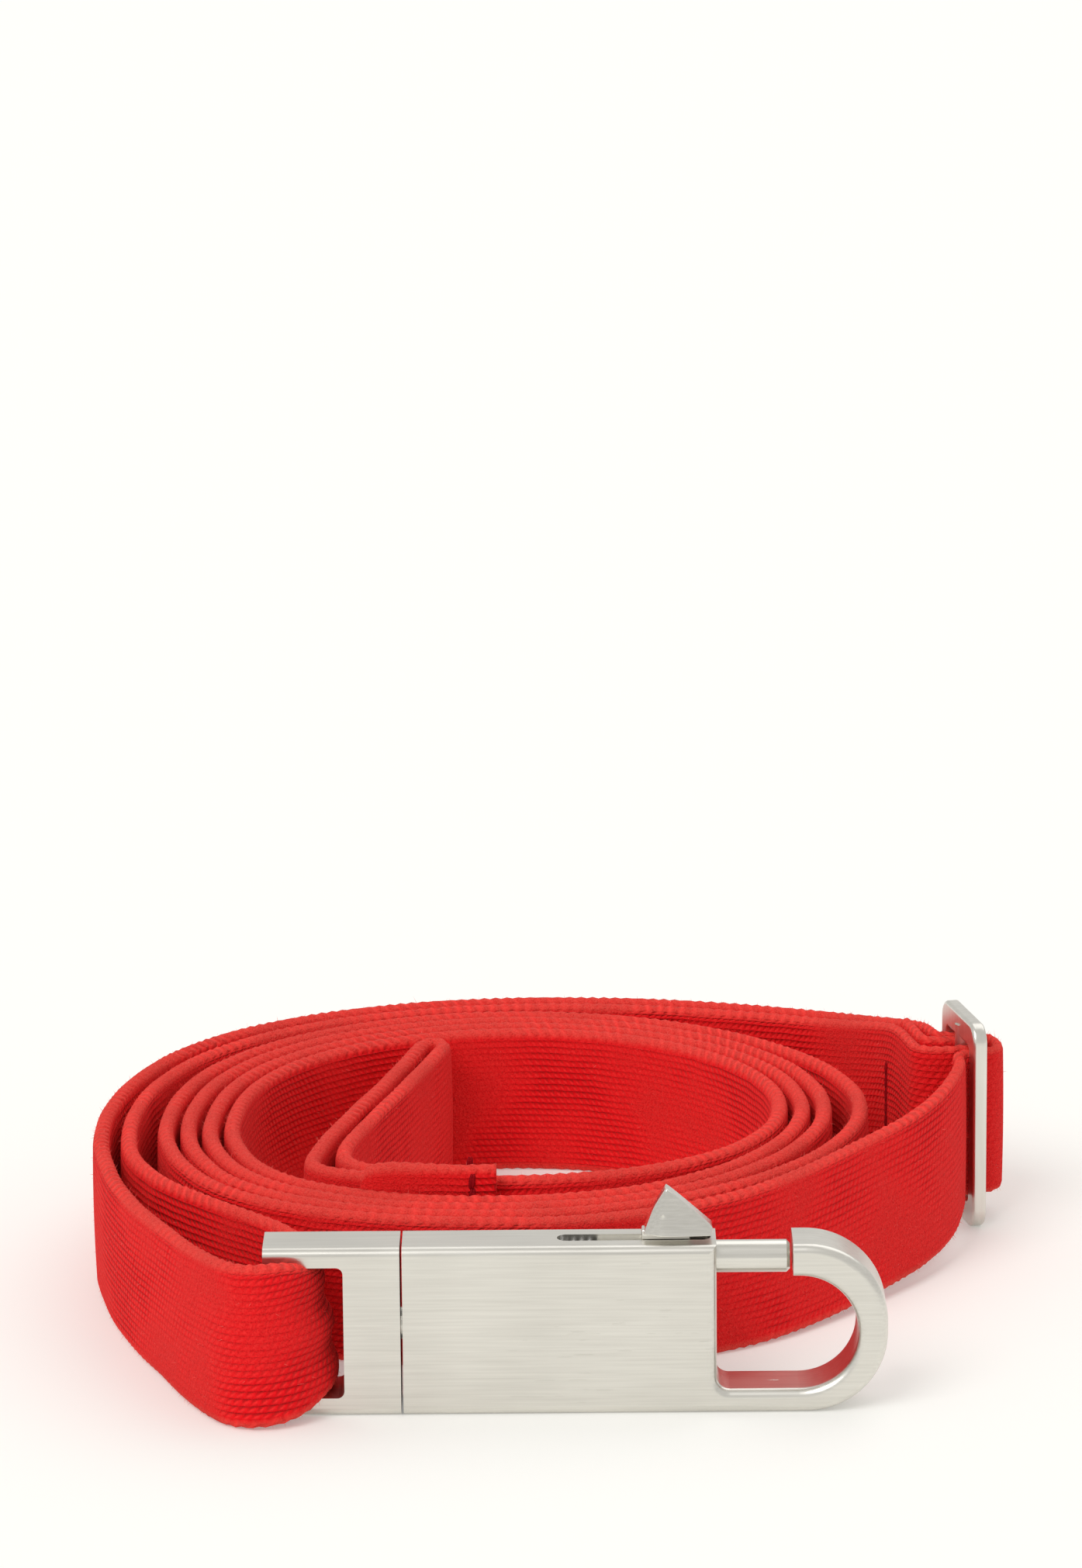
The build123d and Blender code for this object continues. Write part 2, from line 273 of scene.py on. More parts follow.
@dataclass(frozen=True)
class CottonFinish:
    """Ribbed cotton webbing, with the ribs along its length and a corded selvedge."""

    name: str = "red_cotton"
    rib: float = 1.09 * MM
    knuckle: float = 1.15 * MM
    cord: float = 2.1 * MM
    # Painted light: groove_shade is painted shade for the low rib grooves, and crown is a painted
    # highlight on the rib tops.
    groove_shade: Colour = (0.40, 0.0, 0.004)
    body: Colour = (0.78, 0.004, 0.009)
    crown: Colour = (0.95, 0.022, 0.024)
    # Painted sheen: a paler salmon colour for fuzz catching the light on the selvedge and nap patches.
    fuzz_sheen: Colour = (0.86, 0.13, 0.095)
    waver_scale: float = 210
    waver_along: float = 1.2 * MM
    waver_across: float = 0.5 * MM
    fuzz_scale: float = 3400
    patch_scale: float = 45
    patch_gain: tuple[float, float] = (3.4, -1.2)
    nap_range: tuple[float, float] = (0.12, 0.85)
    tone_shares: tuple[float, float] = (0.75, 0.35)
    sheen_weights: tuple[float, float] = (0.65, 0.2)
    lump: tuple[float, float] = (0.3, 0.7)
    lump_lean: float = 0.55
    crown_power: float = 0.7
    strand: tuple[float, float] = (0.4, 0.5)
    strand_width: float = 3.6 * MM
    relief: float = 0.6 * MM

    def build(self) -> bpy.types.Material:
        """Makes the material; U is the way along in metres and V the way across.

        Returns:
            The material.
        """
        n = Nodes(self.name)
        uv = n.add("ShaderNodeUVMap", uv_map="lay")
        split = n.add("ShaderNodeSeparateXYZ")
        n.link(uv.outputs[0], split.inputs[0])
        waver = n.noise((self.waver_scale,) * 3, 3.0)
        along = n.math("MULTIPLY_ADD", waver, self.waver_along, split.outputs[0])
        across = n.math("MULTIPLY_ADD", waver, self.waver_across, split.outputs[1])
        face = self.ribs(n, along, across)
        edge = n.add("ShaderNodeAttribute", attribute_name="selvedge").outputs["Fac"]
        relief = n.mix(edge, face, self.cords(n, along, across))
        fuzz = n.noise((self.fuzz_scale,) * 3, 4.0)
        nap = n.math("MULTIPLY_ADD", n.noise((self.patch_scale,) * 3, 4.0), *self.patch_gain)
        nap = n.math("MINIMUM", n.math("MAXIMUM", nap, self.nap_range[0]), self.nap_range[1])
        relief = n.mix(nap, relief, fuzz)
        # Painted light: the colour follows the weave's height, with painted shade in the low grooves
        # and a painted highlight on the crowns.
        by_relief, by_fuzz = self.tone_shares
        tone = n.math("MULTIPLY_ADD", relief, by_relief, n.math("MULTIPLY", fuzz, by_fuzz))
        colour = n.ramp(tone, [(0.12, self.groove_shade), (0.45, self.body), (0.92, self.crown)])
        # Painted sheen: the paler salmon colour is mixed in on the selvedge and nap patches, where fuzz
        # catches the light.
        by_edge, by_nap = self.sheen_weights
        sheen_mask = n.math("MULTIPLY_ADD", edge, by_edge, n.math("MULTIPLY", nap, by_nap))
        sheen_mask = n.math("MINIMUM", n.math("MULTIPLY", sheen_mask, fuzz), 1.0)
        fuzz_sheen = n.add("ShaderNodeMix", data_type="RGBA")
        n.link(sheen_mask, fuzz_sheen.inputs[0])
        n.link(colour, fuzz_sheen.inputs[6])
        fuzz_sheen.inputs[7].default_value = (*self.fuzz_sheen, 1.0)
        n.link(fuzz_sheen.outputs[2], n.shader.inputs["Base Color"])
        n.set(Roughness=0.95, Sheen_Weight=0.16, Sheen_Roughness=0.5, Sheen_Tint=(1.0, 0.25, 0.2, 1))
        n.set(Specular_IOR_Level=0.08)
        n.bump(relief, self.relief, 1.0)
        return n.material

    def ribs(self, n: Nodes, along: Socket, across: Socket) -> Socket:
        """Rows of soft lumps, each row half a lump on from the last.

        Args:
            n: The material's nodes.
            along: The way along in metres.
            across: The way across in metres.

        Returns:
            The height of the ribs, 0 to 1.
        """
        row = n.math("DIVIDE", across, self.rib)
        inside = n.math("FRACT", row)
        crown = n.math("SINE", n.math("MULTIPLY", inside, math.pi))
        crown = n.math("POWER", crown, self.crown_power)
        knuckle = n.math("DIVIDE", along, self.knuckle)
        phase = n.math("MULTIPLY_ADD", n.math("FLOOR", row), 0.5, knuckle)
        lean = n.math("MULTIPLY_ADD", inside, self.lump_lean, phase)
        lump = n.math("SINE", n.math("MULTIPLY", lean, 2 * math.pi))
        return n.math("MULTIPLY", crown, n.math("MULTIPLY_ADD", lump, *self.lump))

    def cords(self, n: Nodes, along: Socket, across: Socket) -> Socket:
        """The slanting strands of the selvedge cord.

        Args:
            n: The material's nodes.
            along: The way along in metres.
            across: The way round the cord in metres.

        Returns:
            The height of the strands, 0 to 1.
        """
        slant = n.math("DIVIDE", along, self.cord)
        turn = n.math("MULTIPLY_ADD", across, 1 / self.strand_width, slant)
        strand = n.math("SINE", n.math("MULTIPLY", turn, 2 * math.pi))
        return n.math("MULTIPLY_ADD", strand, *self.strand)


@dataclass(frozen=True)
class NapFinish:
    """Loose cotton fibres, a little paler than the webbing."""

    name: str = "cotton_nap"
    deep: Colour = (0.80, 0.02, 0.02)
    pale: Colour = (0.85, 0.22, 0.18)
    scale: float = 900

    def build(self) -> bpy.types.Material:
        """Makes the material.

        Returns:
            The material.
        """
        n = Nodes(self.name)
        tone = n.noise((self.scale,) * 3, 1.0)
        n.link(n.ramp(tone, [(0.35, self.deep), (0.75, self.pale)]), n.shader.inputs["Base Color"])
        n.set(Roughness=1.0, Specular_IOR_Level=0.0)
        return n.material


@dataclass(frozen=True)
class ThreadFinish:
    """Twisted sewing thread."""

    name: str = "dark_thread"
    shade: Colour = (0.16, 0.0, 0.004)
    light: Colour = (0.36, 0.004, 0.008)
    twist_scale: tuple[float, float, float] = (1500, 1500, 5000)
    relief: float = 0.1 * MM

    def build(self) -> bpy.types.Material:
        """Makes the material.

        Returns:
            The material.
        """
        n = Nodes(self.name)
        twist = n.noise(self.twist_scale, 2.0)
        n.link(n.ramp(twist, [(0.3, self.shade), (0.7, self.light)]), n.shader.inputs["Base Color"])
        n.set(Roughness=0.75, Specular_IOR_Level=0.12)
        n.bump(twist, self.relief, 0.6)
        return n.material


@dataclass(frozen=True)
class MetalFinish:
    """Satin metal, brushed along one axis."""

    name: str
    light: Colour = (0.78, 0.76, 0.705)
    dark: Colour = (0.62, 0.60, 0.55)
    grain: tuple[float, float, float] = (60, 2600, 2600)
    rough: tuple[float, float] = (0.24, 0.38)
    relief: float = 0.012 * MM
    cloud_scale: float = 55
    tone_shares: tuple[float, float] = (0.4, 0.6)
    scratched: bool = False
    nick_scale: tuple[float, float, float] = (160, 900, 1900)
    nick_from: float = 0.70
    group_scale: tuple[float, float, float] = (42, 42, 60)
    group_from: float = 0.56
    nick_rough: float = 0.22
    nick_depth: float = -1.5

    def build(self) -> bpy.types.Material:
        """Makes the material.

        Returns:
            The material.
        """
        n = Nodes(self.name)
        brush = n.noise(self.grain, 4.0)
        cloud = n.noise((self.cloud_scale,) * 3, 2.0)
        by_cloud, by_brush = self.tone_shares
        tone = n.math("MULTIPLY_ADD", cloud, by_cloud, n.math("MULTIPLY", brush, by_brush))
        colour = n.ramp(tone, [(0.25, self.dark), (0.7, self.light)])
        low, high = self.rough
        rough = n.math("MULTIPLY_ADD", tone, high - low, low)
        height = brush
        if self.scratched:
            nick = n.math("GREATER_THAN", n.noise(self.nick_scale, 1.0), self.nick_from)
            group = n.math("GREATER_THAN", n.noise(self.group_scale, 0.0), self.group_from)
            nick = n.math("MULTIPLY", nick, group)
            rough = n.math("MULTIPLY_ADD", nick, self.nick_rough, rough)
            height = n.math("MULTIPLY_ADD", nick, self.nick_depth, brush)
        n.link(colour, n.shader.inputs["Base Color"])
        n.link(rough, n.shader.inputs["Roughness"])
        n.set(Metallic=1.0)
        n.bump(height, self.relief, 0.8)
        return n.material


@dataclass(frozen=True)
class FloorFinish:
    """Plain pale sweep."""

    name: str = "pale_floor"
    colour: Colour = (0.72, 0.715, 0.69)
    glow: float = 0.24

    def build(self) -> bpy.types.Material:
        """Makes the material.

        Returns:
            The material.
        """
        n = Nodes(self.name)
        n.set(Base_Color=(*self.colour, 1.0), Roughness=0.85, Specular_IOR_Level=0.1)
        n.set(Emission_Color=(*self.colour, 1.0), Emission_Strength=self.glow / self.colour[0])
        return n.material


# ---------------------------------------------------------------- webbing


@dataclass(frozen=True)
class Station:
    """One control point of the webbing's route, in millimetres.

    Attributes:
        x: Place across the coil.
        y: Place towards the back.
        mid: Height of the webbing's middle.
        width: Height it takes up.
        thick: Its thickness.
        lean: Degrees that its top leans to the left of its way.
        fold: How deep it is folded along its length.
    """

    x: float
    y: float
    mid: float = 12.5
    width: float = 25.0
    thick: float = 3.1
    lean: float = 0.0
    fold: float = 0.0

    def channels(self) -> tuple[float, ...]:
        """All its values as one row."""
        return (self.x, self.y, self.mid, self.width, self.thick, self.lean, self.fold)


@dataclass(frozen=True)
class Fibre:
    """How the loose cotton fibres stand, in millimetres and shares.

    Attributes:
        reach: Shortest and longest.
        stray_chance: Share of them that stray.
        stray: How many times longer those are.
        rise: Least and greatest part that points away from the webbing.
        sweep: Part that points along the webbing.
        droop: Greatest part of the sweep that points up or down.
        half_width: Half the blade's width at its root.
        root: How deep the root sits.
        clearance: Least height of a tip above the floor.
    """

    reach: tuple[float, float] = (0.35, 1.0)
    stray_chance: float = 0.03
    stray: float = 2.0
    rise: tuple[float, float] = (0.35, 0.9)
    sweep: float = 0.8
    droop: float = 0.7
    half_width: float = 0.035
    root: float = 0.1
    clearance: float = 0.05


@dataclass
class Webbing:
    """The strap's one continuous strip, standing on edge."""

    origin: tuple[float, float] = (0.0, 8.1)
    slider_at: tuple[float, float] = (68.2, 35.5)
    slider_turn: float = -78.5
    coil_at: tuple[float, float] = (-6.7, 17.8)
    coil_radius: float = 58.8
    coil_pitch: float = 3.7
    coil_turns: int = 4
    coil_steps: int = 16
    coil_squash: float = 0.7
    corner_swell: float = 6.4
    loose_swell: float = 2.5
    front_swell: float = 3.5
    inner_rise: float = 0.8
    front_lean: float = 5.0
    raised: float = 17.5
    pressed: float = 2.2
    eye_radius: float = 2.95
    bulge_radius: float = 5.4
    lay_free: float = -3.25
    lay_tail: float = -5.95
    lay_leg: float = -8.4
    step: float = 1.0
    corner: tuple[float, float] = (-135, 45)
    side: tuple[float, float] = (0, 60)
    front: tuple[float, float] = (-90, 75)
    flat_steps: int = 11
    edge_steps: int = 4
    barrel: float = 0.12
    strays: tuple[tuple[float, float, float], ...] = ((0.05, 7.3, 0.0), (0.04, 2.9, 1.3))
    rope: float = 0.13
    rope_pitch: float = 2.1
    crease: float = 1.5
    crease_waves: float = 2.2
    edge_wrap: float = 1.5
    clearance: float = 0.02
    nap_share: float = 0.16
    edge_nap: float = 2.5
    fibre: Fibre = Fibre()
    length: float = field(default=0.0, init=False)
    roots: list[tuple[Vector, Vector, Vector]] = field(default_factory=list, init=False)

    def by_slider(self, along: float, out: float, **rest: float) -> Station:
        """A station given in the slider's own directions.

        Args:
            along: Millimetres from its centre bar towards its near bar.
            out: Millimetres out of its plane.
            rest: The station's other values.

        Returns:
            The station.
        """
        a = math.radians(self.slider_turn)
        x = self.slider_at[0] + along * math.cos(a) - out * math.sin(a)
        y = self.slider_at[1] + along * math.sin(a) + out * math.cos(a)
        return Station(x, y, **{"mid": self.raised, "thick": self.pressed, **rest})

    def eye(self) -> list[Station]:
        """The sewn eye round the slider's centre bar, from its tail."""
        r = self.eye_radius
        places = [(-16, self.lay_tail), (-9, self.lay_tail), (-r, self.lay_tail), (-r, r), (r, r)]
        places += [(r, self.lay_leg), (-4, self.lay_leg), (-11.5, self.lay_leg)]
        return [self.by_slider(a, o) for a, o in places]

    def legs(self) -> list[Station]:
        """From the eye round the back and left, through the clip, and back to the slider."""
        free = [
            (14, 78.6), (-7, 79.8), (-28, 75.9), (-46, 66), (-60, 50.5),
            (-67.5, 31), (-69.8, 10), (-68.6, -8), (-62.8, -22.5),
        ]
        back = [
            (-74.4, 6), (-72.2, 30), (-64.5, 52.3), (-49.5, 69.5), (-29.5, 80), (-7, 84), (16, 82.5),
        ]
        clip = [
            Station(-55.5, -32.4),
            Station(-48, -40.8, width=24.8),
            Station(-39.8, -47.6, mid=12.6, width=23.5, fold=0.1, lean=-5),
            Station(-36.4, -55.5, mid=13.25, width=19.6, thick=3.6, fold=0.35, lean=-8),
            Station(-36.4, -63.5, mid=13.25, width=19.6, thick=3.6, fold=0.4, lean=-8),
            Station(-40.6, -70.6, mid=13.3, width=25.0, thick=3.3, fold=0.3, lean=-4),
            Station(-48.3, -71.6, mid=12.7, width=25.3, lean=-4, fold=0.1),
            Station(-54.6, -62.0, lean=-2),
            Station(-60.6, -48.0, lean=1),
            Station(-67.0, -32.0, lean=2),
            Station(-71.9, -13.0, lean=1),
        ]
        run_out = [self.by_slider(-19, self.lay_leg - 0.3, mid=16.2, thick=3.0)]
        run_out += [Station(47.5, 63.5, mid=13.6), Station(33, 72.6, mid=12.7)]
        run_in = [Station(36, 76.2, mid=12.7), Station(50.3, 67.2, mid=13.6)]
        run_in += [self.by_slider(-19, self.lay_free - 0.6, mid=16.2, thick=3.0)]
        return run_out + [Station(*p) for p in free] + clip + [Station(*p) for p in back] + run_in

    def bulge(self) -> list[Station]:
        """Up through the slider, over the eye and down again."""
        r, low = self.bulge_radius, self.lay_free
        places = [(-11.5, low), (-r, low), (-r, r), (r, r), (r, low), (11.5, low)]
        return [self.by_slider(a, o) for a, o in places]

    def coil(self) -> list[Station]:
        """The nested turns, clockwise and inwards from the front."""
        found = []
        for step in range(self.coil_turns * self.coil_steps + 1):
            turn = step / self.coil_steps
            angle = -90 - 360 * turn
            r = self.coil_radius - self.coil_pitch * turn
            r += self.corner_swell * self.bump(angle, *self.corner)
            if turn < 1:
                r += self.loose_swell * self.bump(angle, *self.side)
            outer = turn < self.coil_turns - 0.5
            if outer:
                r += self.front_swell * self.bump(angle, *self.front)
            a = math.radians(angle)
            x = self.coil_at[0] + (r - self.coil_squash) * math.cos(a)
            y = self.coil_at[1] + (r + self.coil_squash) * math.sin(a)
            late = min(1.0, max(0.0, turn - self.coil_turns + 0.22) / 0.2)
            rise = self.inner_rise * late * late * (3 - 2 * late)
            lean = self.front_lean * self.bump(angle, *self.front) if outer else -rise
            found.append(Station(x, y, mid=12.5 + rise, lean=lean))
        return found

    @staticmethod
    def bump(angle: float, middle: float, half: float) -> float:
        """A smooth hill round part of a turn.

        Args:
            angle: Where, in degrees.
            middle: Where the hill is 1.
            half: How far to either side it falls to 0.

        Returns:
            The hill's height.
        """
        off = (angle - middle + 180) % 360 - 180
        return math.cos(math.radians(90 * off / half)) ** 2 if abs(off) < half else 0.0

    def near_leg(self) -> list[Station]:
        """From the slider's near bar down to the front of the coil."""
        return [
            Station(61.5, 5, mid=15.2, lean=-6),
            Station(50.5, -10, mid=13.8, lean=-9),
            Station(36.5, -27.5, mid=12.8, lean=-8),
            Station(24.5, -37.5, lean=-4),
            Station(8, -44.3),
        ]

    def hand_loop(self) -> list[Station]:
        """The flattened hand loop and its sewn tail."""
        out = [(-39.6, -16.6), (-38.2, -5.5), (-33.4, 14), (-27.4, 36), (-24.1, 50), (-22.4, 57.2)]
        home = [(-18.6, 56.4), (-20.3, 49), (-23.7, 35), (-29.7, 13), (-34.4, -6.5), (-33.6, -13.8)]
        tail = [(-28.4, -19.2), (-20, -22.5), (-9.7, -23.2)]
        start = [Station(-21, -25.6, mid=13.4, lean=-2), Station(-31.5, -23.0, mid=13.2)]
        ends = [Station(x, y + 0.4, mid=mid, lean=-2) for (x, y), mid in zip(tail, (12.9, 13.0, 13.0))]
        return start + [Station(*p, mid=12.7) for p in out + home] + ends

    def route(self) -> list[Station]:
        """All control points, from the sewn eye to the sewn tail."""
        outside = self.eye() + self.legs() + self.bulge() + self.near_leg()
        return outside + self.coil() + self.hand_loop()

    def rings(self, route: list[Station]) -> list[tuple[float, ...]]:
        """A route as close rows of channels, on a quadratic B-spline.

        Args:
            route: Its control points.

        Returns:
            One row of channels about every step of the way.
        """
        points = [s.channels() for s in route]
        points = [points[0]] + points + [points[-1]]
        rows = []
        for a, b, c in zip(points, points[1:], points[2:]):
            span = 0.5 * (math.dist(a[:2], b[:2]) + math.dist(b[:2], c[:2]))
            count = max(2, math.ceil(span / self.step))
            for k in range(count):
                t = k / count
                w = (0.5 * (1 - t) ** 2, 0.5 + t - t * t, 0.5 * t * t)
                rows.append(tuple(w[0] * i + w[1] * j + w[2] * m for i, j, m in zip(a, b, c)))
        return rows

    def section(self) -> list[tuple[float, float, float]]:
        """The strip's outline: across (-1 to 1), out (-1 to 1) and how much it is selvedge."""
        flat, side = self.flat_steps, self.edge_steps
        left = [(-1 + 2 * i / flat, 1.0, 0.0) for i in range(flat + 1)]
        right = [(-x, -1.0, 0.0) for x, _, _ in left]
        top = [(1.0, math.cos(math.pi * i / (side + 1)), 1.0) for i in range(1, side + 1)]
        low = [(-1.0, -c, 1.0) for _, c, _ in top]
        return left + top + right + low

    def placed(self, point: Vector) -> tuple[float, float, float]:
        """A point of the plan in metres about the frame's origin.

        Args:
            point: The point, in millimetres.

        Returns:
            Its coordinates.
        """
        return ((point.x - self.origin[0]) * MM, (point.y - self.origin[1]) * MM, point.z * MM)

    def sweep(self, rows: list[tuple[float, ...]]) -> tuple[list, list, list]:
        """Runs the outline along rows of channels, and notes where fibres grow.

        Args:
            rows: The rows.

        Returns:
            Every vertex's place, its place on the lay map and how much it is selvedge.
        """
        verts, ways, edges = [], [], []
        outline, gone = self.section(), 0.0
        for i, row in enumerate(rows):
            x, y, mid, width, thick, lean, fold = row
            before, after = rows[max(0, i - 1)], rows[min(len(rows) - 1, i + 1)]
            way = Vector((after[0] - before[0], after[1] - before[1], 0.0)).normalized()
            left = Vector((-way.y, way.x, 0.0))
            gone += 0.0 if i == 0 else math.dist(row[:2], rows[i - 1][:2])
            tip = math.radians(lean)
            up = Vector((0, 0, 1)) * math.cos(tip) + left * math.sin(tip)
            out = left * math.cos(tip) - Vector((0, 0, 1)) * math.sin(tip)
            soft = sum(size * math.sin(gone / length + start) for size, length, start in self.strays)
            for across, side, edge in outline:
                half = thick / 2 * (1 - self.barrel * across * across)
                if edge:
                    reach = width / 2 - thick / 2 + thick / 2 * math.sqrt(1 - side * side)
                    reach += self.rope * math.sin(2 * math.pi * gone / self.rope_pitch + 2 * side)
                else:
                    reach = abs(across) * (width / 2 - thick / 2)
                height = math.copysign(reach, across)
                crease = fold * self.crease * math.cos(self.crease_waves * math.pi * across)
                crease *= 1 - 0.5 * across * across
                point = Vector((x, y, mid)) + up * height + out * (half * side + crease + soft)
                point.z = max(point.z, self.clearance)
                if random.random() < self.nap_share * (self.edge_nap if edge else 1.0):
                    self.roots.append((point.copy(), out * side + up * across * edge, way))
                verts.append(self.placed(point))
                ways.append((gone * MM, height * MM + side * edge * self.edge_wrap * MM))
                edges.append(edge)
        self.length = gone * MM
        return verts, ways, edges

    def build(self, name: str, route: list[Station]) -> bpy.types.Object:
        """Makes a strip's mesh, its lay map and its selvedge attribute.

        Args:
            name: The strip's name.
            route: Its control points.

        Returns:
            The strip.
        """
        rows, size = self.rings(route), len(self.section())
        verts, ways, edges = self.sweep(rows)
        faces = []
        for i in range(len(rows) - 1):
            for j in range(size):
                k = (j + 1) % size
                faces.append((i * size + j, (i + 1) * size + j, (i + 1) * size + k, i * size + k))
        faces.append(tuple(range(size)))
        faces.append(tuple(reversed(range((len(rows) - 1) * size, len(rows) * size))))
        mesh = bpy.data.meshes.new(name)
        mesh.from_pydata(verts, [], faces)
        lay = mesh.uv_layers.new(name="lay")
        for loop in mesh.loops:
            lay.data[loop.index].uv = ways[loop.vertex_index]
        mark = mesh.attributes.new("selvedge", "FLOAT", "POINT")
        mark.data.foreach_set("value", edges)
        mesh.polygons.foreach_set("use_smooth", [True] * len(mesh.polygons))
        mesh.update()
        strip = bpy.data.objects.new(name, mesh)
        bpy.context.collection.objects.link(strip)
        LOG.info("%s: %.3f m, %d faces", name, self.length, len(faces))
        return strip

    def hem(self) -> list[Station]:
        """The turned end sewn over the root of the hand loop, from its rounded fold."""
        return [
            Station(-30.4, -28.2, mid=16.5, width=19.0, thick=1.2, lean=-2),
            Station(-30.1, -28.4, mid=16.6, width=23.0, thick=3.0, lean=-2),
            Station(-27.0, -28.8, mid=16.6, width=25.2, thick=3.6, lean=-2),
            Station(-20.0, -29.3, mid=16.4, width=25.0, thick=3.0, lean=-2),
            Station(-14.0, -29.5, mid=16.2, width=24.8, thick=2.5, lean=-2),
            Station(-9.2, -29.6, mid=16.4, width=25.0, thick=2.8, lean=-2),
        ]

    def nap(self) -> bpy.types.Object:
        """The cotton's short loose fibres, each a thin blade, on all strips made so far.

        Returns:
            The fibres.
        """
        verts, faces, kind = [], [], self.fibre
        for root, out, way in self.roots:
            long = random.uniform(*kind.reach)
            long *= kind.stray if random.random() < kind.stray_chance else 1.0
            side = way * random.uniform(-1, 1)
            side += Vector((0, 0, random.uniform(-kind.droop, kind.droop)))
            tip = root + (out * random.uniform(*kind.rise) + side * kind.sweep).normalized() * long
            tip.z = max(tip.z, kind.clearance)
            across = side.cross(out).normalized() * kind.half_width
            deep = out * kind.root
            first = len(verts)
            verts += [self.placed(point) for point in (root - across - deep, root + across - deep, tip)]
            faces.append((first, first + 1, first + 2))
        mesh = bpy.data.meshes.new("cotton_nap")
        mesh.from_pydata(verts, [], faces)
        piece = bpy.data.objects.new("cotton_nap", mesh)
        bpy.context.collection.objects.link(piece)
        LOG.info("cotton_nap: %d fibres", len(faces))
        return piece

    def dress(self, finish: bpy.types.Material, fibre: bpy.types.Material) -> None:
        """Makes the strip, its hem and its nap, puts each on the strap's body and hides the CAD
        webbing.

        Args:
            finish: The cotton.
            fibre: The nap's own material.
        """
        hem = self.build("loop_hem", self.hem())
        strip = self.build("webbing_strip", self.route())
        nap = self.nap()
        for piece, material in ((hem, finish), (strip, finish), (nap, fibre)):
            dress(piece, material)
            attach(piece, Body.STRAP.value)
        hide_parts("webbing")


# ---------------------------------------------------------------- stitches


@dataclass
class StitchRow:
    """A double row of thread across the sewn webbing, seen on both faces.

    Attributes:
        name: The row's name.
        node: The CAD piece that it stands for.
        tilt: Its heading in degrees.
        count: Stitches in a column.
        columns: Columns on each face.
        gap: Between columns.
        radius: Of the thread.
        front: From the middle out to the near face.
        back: From the middle out to the far face.
        lift: How far the row sits above the CAD piece.
        thin: The thread's depth as a share of its width.
        fill: Half a stitch's length as a share of the pitch.
        twist: How far each stitch leans, in degrees.
    """

    name: str
    node: str
    tilt: float
    count: int = 9
    columns: int = 2
    gap: float = 0.4 * MM
    radius: float = 0.33 * MM
    front: float = 2.6 * MM
    back: float = 2.6 * MM
    lift: float = 0.0
    thin: float = 0.75
    fill: float = 0.56
    twist: float = 7

    def build(self, finish: bpy.types.Material) -> bpy.types.Object:
        """Models one stitch, copies it along the rows and joins the copies.

        Args:
            finish: The thread's material.

        Returns:
            The row.
        """
        low, high = (Vector(c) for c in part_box(self.node))
        middle = (low + high) / 2
        turn = Euler((0, 0, math.radians(self.tilt)))
        across = Vector((1, 0, 0))
        across.rotate(turn)
        out = Vector((0, 1, 0))
        out.rotate(turn)
        reach = {Face.LEFT: self.back, Face.RIGHT: self.front}
        pitch = (high.z - low.z) / self.count
        made = []
        for face in Face:
            for column in range(self.columns):
                for k in range(self.count):
                    place = middle + out * (reach[face] * face.value)
                    place += across * (column - (self.columns - 1) / 2) * self.gap
                    place.z = low.z + self.lift + pitch * (k + 0.5)
                    made.append(self.stitch(place, pitch))
        deselect()
        for piece in made:
            piece.select_set(True)
        bpy.context.view_layer.objects.active = made[0]
        bpy.ops.object.join()
        row = bpy.context.object
        row.name = self.name
        settle(row)
        dress(row, finish)
        bpy.ops.object.shade_smooth()
        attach(row, Body.STRAP.value)
        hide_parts(self.node)
        return row

    def stitch(self, place: Vector, pitch: float) -> bpy.types.Object:
        """One stitch: a short rounded length of thread that dips at both ends.

        Args:
            place: Its middle.
            pitch: Its length along the row.

        Returns:
            The stitch.
        """
        deselect()
        bpy.ops.mesh.primitive_uv_sphere_add(
            segments=8, ring_count=6, radius=self.radius, location=place
        )
        piece = bpy.context.object
        piece.scale = (1.0, self.thin, self.fill * pitch / self.radius)
        piece.rotation_euler = (0, math.radians(self.twist), math.radians(self.tilt))
        return piece


# ---------------------------------------------------------------- clip


